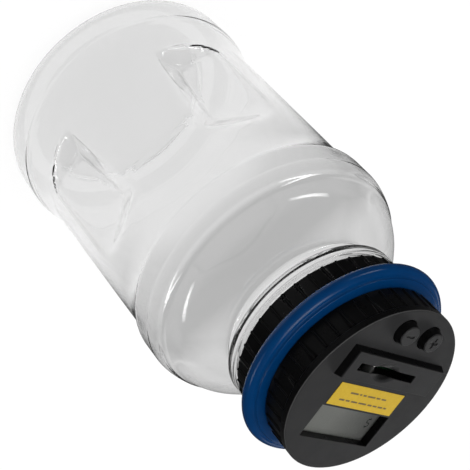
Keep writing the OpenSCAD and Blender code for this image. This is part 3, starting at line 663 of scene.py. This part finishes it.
def finishes():
    """The finish of each material slot that the solids keep."""
    return {
        "gasket_white": rubber("gasket_foam", (0.7, 0.7, 0.68), (0.85, 0.85, 0.83), rough=(0.55, 0.75)),
        "lid_black": moulded("skirt_black", *SATIN_BLACK, rough=(0.25, 0.35), shine=0.08),
        "head_black": two_part_black("head_black_moulding", PLATE_TOP - 0.1 * MM, wall_rough=(0.25, 0.35),
                                     top_rough=(0.42, 0.55), shine=0.1, rim=PLATE_HIGHLIGHT_RIM),
        "insert_black": two_part_black("insert_black_moulding", PLATFORM_TOP - 0.2 * MM,
                                       wall_rough=(0.25, 0.35), top_rough=(0.4, 0.52), shine=0.1),
        "button_black": two_part_black("button_black_moulding", BUTTON_TOP - 0.1 * MM, wall_rough=(0.2, 0.3),
                                       top_rough=(0.35, 0.45), shine=0.15),
        "trim_blue": moulded("ring_blue_gloss", (0.0002, 0.0195, 0.073), (0.0004, 0.026, 0.095),
                             rough=(0.12, 0.22), spark=700, depth=3e-6, shine=0.15, edge=0.3 * MM),
        "pad_rubber": rubber("pad_silicone", (0.28, 0.28, 0.28), (0.4, 0.4, 0.4), rough=(0.5, 0.65)),
        "window_clear": clear("window_pane", (0.97, 0.98, 0.98), index=1.49),
        "display": display_glass(),
        "strip": striped_strip(),
        "label_yellow": label_film(),
        "board_green": board_mask(),
        "resin": moulded("resin_black", (0.006, 0.006, 0.006), (0.012, 0.012, 0.012), rough=(0.1, 0.3),
                         spark=300, depth=3e-5),
        "component_metal": metal("component_cans", (0.5, 0.5, 0.52), (0.68, 0.68, 0.7), rough=(0.25, 0.4),
                                 stretch=(1, 1, 0.1)),
        "lever_plastic": moulded("lever_natural", (0.74, 0.74, 0.71), (0.84, 0.84, 0.81), rough=(0.35, 0.5)),
        "contact_metal": metal("contact_brass", (0.5, 0.38, 0.17), (0.66, 0.53, 0.27), rough=(0.25, 0.4),
                               stretch=(0.1, 1, 1)),
        "pin_steel": metal("pin_ground", *STEEL, rough=(0.15, 0.3), stretch=(1, 1, 0.1)),
        "spring_steel": metal("spring_wire", *STEEL, rough=(0.2, 0.35), stretch=(1, 0.1, 1)),
        "cell_wrap": cell_wrap(),
        "screw_steel": metal("screw_plated", (0.42, 0.42, 0.43), (0.56, 0.56, 0.55), rough=(0.25, 0.4),
                             stretch=(0.2, 1, 1)),
    }


def dress_cad_nodes(ready):
    """Gives every solid the finish of its slot."""
    for part in frame["record"]["subparts"]:
        node = frame["nodes"][part["node"]]
        if part["material_slot"] in ready:
            node.data.materials.clear()
            node.data.materials.append(ready[part["material_slot"]])


# Rubber pads under the buttons, in millimetres

PAD_WALL = 0.8
PAD_TOP_R = 2.5
PAD_STEPS = 48
PILL_R = 1.5
PRESS = 1.2


def make_pads(finish):
    """Hollow cones with a contact pill each."""
    for name in ("plus", "minus"):
        low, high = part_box(name + "_pad")
        foot_r = (high.x - low.x) / 2 / MM
        tall = (high.z - low.z) / MM
        section = [(0, PRESS), (PILL_R, PRESS), (PILL_R, tall - PAD_WALL), (foot_r - 2 * PAD_WALL, 0)]
        section += [(foot_r, 0), (foot_r, PAD_WALL), (PAD_TOP_R + PAD_WALL, PAD_WALL)]
        section += [(PAD_TOP_R, tall), (0, tall)]
        foot = Vector(((low.x + high.x) / 2, (low.y + high.y) / 2, low.z))
        bm = bmesh.new()
        turned(bm, section, PAD_STEPS)
        bmesh.ops.translate(bm, verts=bm.verts, vec=foot)
        pad = piece_from(bm, name + "_rubber", "lid", finish, False)
        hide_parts(name + "_pad")
        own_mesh(pad)


# Marks on the lid, in millimetres and square to the reader

MARK_X = -16.6
MARK_Y = 15.6
MARK_LIFT = 0.025
MARK_THICK = 0.03
SEGMENT_WIDE = 0.42
FLAT_LONG = 1.7
FLAT_SPACING = 1.7
UPRIGHT_LONG = 1.4
UPRIGHT_X = 0.95
UPRIGHT_Y = 0.85
TICK_LONG = 0.6
TICK_WIDE = 0.36
TICK_Y = 2.25

# Height on the label and dash lengths of each row
LABEL_ROWS = ((5.7, (1.6, 2.6, 2.2, 2.4, 4.6, 3.6, 2.2, 3.0)), (2.2, (2.8, 2.2, 4.4, 1.8, 1.2, 4.6)))
DASH_GAP = 0.9
DASH_WIDE = 0.75
DASH_THICK = 0.02
DASH_LIFT = 0.005

BUTTON_X = 7.35
BUTTON_Y = -26.5
BUTTON_BAR_LONG = 4.3
BUTTON_BAR_WIDE = 0.9
BUTTON_BAR_THICK = 0.06
BUTTON_BAR_SUNK = 0.36


def add_bar(bm, x, y, z, long, wide, thick, lean=0.0):
    """A thin bar on the lid's face."""
    at = Matrix.Rotation(LID_TURN, 4, "Z") @ Matrix.Translation(Vector((x, y, z)) * MM)
    shape = Matrix.Rotation(lean, 4, "Z") @ Matrix.Diagonal((long * MM, wide * MM, thick * MM, 1))
    bmesh.ops.create_cube(bm, size=1, matrix=at @ shape)


def make_display_mark(finish):
    """Currency mark of the display, in plain segments."""
    bm = bmesh.new()
    z = DISPLAY_TOP / MM + MARK_LIFT
    for level in (-FLAT_SPACING, 0, FLAT_SPACING):
        add_bar(bm, MARK_X, MARK_Y + level, z, FLAT_LONG, SEGMENT_WIDE, MARK_THICK)
    for side in (-1, 1):
        x, y = MARK_X + side * UPRIGHT_X, MARK_Y - side * UPRIGHT_Y
        add_bar(bm, x, y, z, SEGMENT_WIDE, UPRIGHT_LONG, MARK_THICK)
    for side in (1, -1):
        add_bar(bm, MARK_X, MARK_Y + side * TICK_Y, z, TICK_WIDE, TICK_LONG, MARK_THICK)
    piece_from(bm, "display_mark", "lid", finish, False)


def make_label_rows(finish):
    """Two rows of plain dashes where the label is printed."""
    bm = bmesh.new()
    z = LABEL_TOP / MM + DASH_LIFT
    for y, dashes in LABEL_ROWS:
        x = -(sum(dashes) + DASH_GAP * (len(dashes) - 1)) / 2
        for long in dashes:
            add_bar(bm, x + long / 2, y, z, long, DASH_WIDE, DASH_THICK)
            x += long + DASH_GAP
    piece_from(bm, "label_rows", "lid", finish, False)


def make_button_marks(finish):
    """Plus and minus in the sunk marks of the buttons."""
    z = BUTTON_TOP / MM - BUTTON_BAR_SUNK
    for name, x, turns in (("plus", -BUTTON_X, (0, math.pi / 2)), ("minus", BUTTON_X, (0,))):
        bm = bmesh.new()
        for turn in turns:
            add_bar(bm, x, BUTTON_Y, z, BUTTON_BAR_LONG, BUTTON_BAR_WIDE, BUTTON_BAR_THICK, turn)
        piece_from(bm, name + "_mark", name + "_button", finish, False)


# Stage, in metres

FLOOR_HALF = 6
FLOOR_WHITE = (0.86, 0.86, 0.86)
TABLE_DARK = (0.06, 0.06, 0.06)
CARD_FADE = 0.06
CARD_FRONT = -0.25
CARD_BACK = 0.04
CARD_HALF_WIDTH = 0.1

# How much of the floor glows by itself: to the camera, through glass and in gloss
SEEN_GLOW = 0.88
GLASS_GLOW = 0.9
CARD_GLOW = 0.3

# Through glass, a painted grey band of shade lies across the floor behind the bank
SHADE_BAND_START = (0.085, 0.145)
SHADE_BAND_END = (0.165, 0.19)
BEFORE_PAINTED_SHADE = 0.85
IN_PAINTED_SHADE = 0.58
PAST_SHADE_GAIN = 0.3

# Light of the room: on matt faces, in gloss, and of the backdrop in glass, which ends between two slopes
ROOM_LIGHT = 0.35
ROOM_IN_GLOSS = 0.08
BACKDROP_LIGHT = 0.9
CEILING = (0.1, 0.3)

LAMP_PEAK = 3.0
LID_AIM = (0, 0, 0.1)
BACK_AIM = (0, 0, 0.15)
SIDE_AIM = (0, 0, 0.14)

CAMERA_AT = (0.00021, -0.40823, 0.43199)
CAMERA_TIP = math.radians(39.136)
CAMERA_ROLL = math.radians(138.961)
SENSOR_WIDTH = 36
FOCAL_PIXELS = 1315.78
PICTURE_PIXELS = 470


def combine(tree, operation, first, second):
    """Arithmetic on two numbers, each a socket or a value."""
    node = tree.nodes.new("ShaderNodeMath")
    node.operation = operation
    for socket, number in zip(node.inputs, (first, second)):
        feed(tree, socket, number)
    return node.outputs[0]


def on_card(tree):
    """1 on the pale card under and before the bank, fading to 0 around it."""
    aside = combine(tree, "ABSOLUTE", along(tree, "X"), 0)
    across = between(tree, aside, 1, 0, CARD_HALF_WIDTH, CARD_HALF_WIDTH + CARD_FADE)
    front = between(tree, along(tree, "Y"), 0, 1, CARD_FRONT - CARD_FADE, CARD_FRONT)
    back = between(tree, along(tree, "Y"), 1, 0, CARD_BACK, CARD_BACK + CARD_FADE)
    return combine(tree, "MULTIPLY", across, combine(tree, "MULTIPLY", front, back))


def floor_finish():
    """White to the camera, a pale card on a dark table in gloss, and pale with a painted grey band of shade
    in glass.
    """
    material = bpy.data.materials.new("floor_white")
    material.use_nodes = True
    tree = material.node_tree
    tree.nodes.clear()
    out = tree.nodes.new("ShaderNodeOutputMaterial")
    matt = tree.nodes.new("ShaderNodeBsdfDiffuse")
    glow = tree.nodes.new("ShaderNodeEmission")
    path = tree.nodes.new("ShaderNodeLightPath")
    mirrored = path.outputs["Is Glossy Ray"]
    through = path.outputs["Is Transmission Ray"]
    in_gloss = combine(tree, "MULTIPLY", mirrored, on_card(tree))
    beside = combine(tree, "SUBTRACT", mirrored, in_gloss)
    tree.links.new(tint(tree, beside, FLOOR_WHITE, TABLE_DARK), matt.inputs["Color"])
    # Painted shade: through glass the floor's glow dips to a grey band behind the bank and pales again past
    # it.
    painted_shade_level = between(tree, along(tree, "Y"), BEFORE_PAINTED_SHADE, IN_PAINTED_SHADE, *SHADE_BAND_START)
    shade_end_paling = between(tree, along(tree, "Y"), 0, PAST_SHADE_GAIN, *SHADE_BAND_END)
    shaded_glow = combine(tree, "ADD", painted_shade_level, shade_end_paling)
    glow.inputs["Color"].default_value = grey(1)
    tree.links.new(between(tree, through, 1, shaded_glow), glow.inputs["Strength"])
    seen = combine(tree, "MULTIPLY", path.outputs["Is Camera Ray"], SEEN_GLOW)
    behind_glass = combine(tree, "MULTIPLY", through, GLASS_GLOW)
    glossed = combine(tree, "MULTIPLY", in_gloss, CARD_GLOW)
    glowing = combine(tree, "MAXIMUM", combine(tree, "MAXIMUM", glossed, behind_glass), seen)
    mix = tree.nodes.new("ShaderNodeMixShader")
    tree.links.new(glowing, mix.inputs[0])
    tree.links.new(matt.outputs[0], mix.inputs[1])
    tree.links.new(glow.outputs[0], mix.inputs[2])
    tree.links.new(mix.outputs[0], out.inputs["Surface"])
    return material


def make_floor():
    """Wide floor under the bank."""
    bm = bmesh.new()
    bmesh.ops.create_grid(bm, x_segments=1, y_segments=1, size=FLOOR_HALF)
    mesh = bpy.data.meshes.new("floor")
    bm.to_mesh(mesh)
    bm.free()
    floor = bpy.data.objects.new("floor", mesh)
    bpy.context.scene.collection.objects.link(floor)
    mesh.materials.append(floor_finish())


def make_world():
    """White to the camera, a dim room in gloss, and a pale backdrop under a dark ceiling in glass."""
    world = bpy.data.worlds.new("studio")
    bpy.context.scene.world = world
    world.use_nodes = True
    tree = world.node_tree
    tree.nodes.clear()
    out = tree.nodes.new("ShaderNodeOutputWorld")
    sky = tree.nodes.new("ShaderNodeBackground")
    path = tree.nodes.new("ShaderNodeLightPath")
    through = path.outputs["Is Transmission Ray"]
    sharp = combine(tree, "MAXIMUM", path.outputs["Is Glossy Ray"], through)
    room = between(tree, sharp, ROOM_LIGHT, ROOM_IN_GLOSS)
    split = tree.nodes.new("ShaderNodeSeparateXYZ")
    tree.links.new(tree.nodes.new("ShaderNodeTexCoord").outputs["Generated"], split.inputs[0])
    backdrop = between(tree, split.outputs["Z"], BACKDROP_LIGHT, 0, *CEILING)
    pane = combine(tree, "MULTIPLY", through, backdrop)
    seen = combine(tree, "MAXIMUM", pane, path.outputs["Is Camera Ray"])
    sky.inputs["Color"].default_value = grey(1)
    tree.links.new(combine(tree, "MAXIMUM", room, seen), sky.inputs["Strength"])
    tree.links.new(sky.outputs[0], out.inputs["Surface"])


def soften_edges(lamp):
    """Lets a lamp's face fall off towards its edges, as a bell that is 1 in the middle, times a peak."""
    lamp.use_nodes = True
    tree = lamp.node_tree
    split = tree.nodes.new("ShaderNodeSeparateXYZ")
    tree.links.new(tree.nodes.new("ShaderNodeNewGeometry").outputs["Parametric"], split.inputs[0])
    level = LAMP_PEAK
    for axis in ("X", "Y"):
        u = split.outputs[axis]
        bell = combine(tree, "MULTIPLY", combine(tree, "MULTIPLY", u, 4), combine(tree, "SUBTRACT", 1, u))
        level = combine(tree, "MULTIPLY", bell, level)
    tree.links.new(level, tree.nodes["Emission"].inputs["Strength"])


def add_softbox(name, at, towards, size, power, mirrored=True):
    """Lamp with a soft face; one that isn't mirrored gives no highlights."""
    lamp = bpy.data.lights.new(name, "AREA")
    lamp.shape = "RECTANGLE"
    lamp.size, lamp.size_y = size
    lamp.energy = power
    soften_edges(lamp)
    holder = bpy.data.objects.new(name, lamp)
    bpy.context.scene.collection.objects.link(holder)
    holder.visible_glossy = mirrored
    holder.visible_transmission = False
    holder.location = at
    holder.rotation_euler = (Vector(towards) - Vector(at)).to_track_quat("-Z", "Y").to_euler()


def make_lights():
    """A wide overhead lamp, and narrow ones for the highlights."""
    add_softbox("overhead", at=(0.0, -0.3, 1.6), towards=LID_AIM, size=(2.2, 1.8), power=15, mirrored=False)
    add_softbox("top_box", at=(0.0, 0.1, 1.5), towards=LID_AIM, size=(0.8, 0.8), power=6)
    add_softbox("back_box", at=(0.0, 1.0, 0.5), towards=BACK_AIM, size=(1.2, 0.15), power=1)
    for name, side in (("left_box", -1), ("right_box", 1)):
        add_softbox(name, at=(side * 0.89, -0.36, 0.42), towards=SIDE_AIM, size=(0.65, 0.12), power=1.1)


def make_camera():
    """Camera over the front, rolled so that the jar lies across the picture."""
    right = Vector((1, 0, 0))
    up = Vector((0, math.sin(CAMERA_TIP), math.cos(CAMERA_TIP)))
    ahead = Vector((0, math.cos(CAMERA_TIP), -math.sin(CAMERA_TIP)))
    across = right * math.cos(CAMERA_ROLL) + up * math.sin(CAMERA_ROLL)
    upward = up * math.cos(CAMERA_ROLL) - right * math.sin(CAMERA_ROLL)
    data = bpy.data.cameras.new("camera")
    data.sensor_width = SENSOR_WIDTH
    data.lens = SENSOR_WIDTH * FOCAL_PIXELS / PICTURE_PIXELS
    camera = bpy.data.objects.new("camera", data)
    bpy.context.scene.collection.objects.link(camera)
    turn = Matrix((across, upward, -ahead)).transposed().to_4x4()
    camera.matrix_world = Matrix.Translation(CAMERA_AT) @ turn
    bpy.context.scene.camera = camera


bpy.context.scene.view_settings.view_transform = "Standard"
ready = finishes()
dress_cad_nodes(ready)
make_pads(ready["pad_rubber"])
make_jar(jar_plastic())
make_display_mark(ink("display_ink"))
make_label_rows(ink("label_ink", dark=(0.06, 0.038, 0.008), light=(0.11, 0.07, 0.015)))
make_button_marks(ink("button_ink"))
make_floor()
make_world()
make_lights()
make_camera()
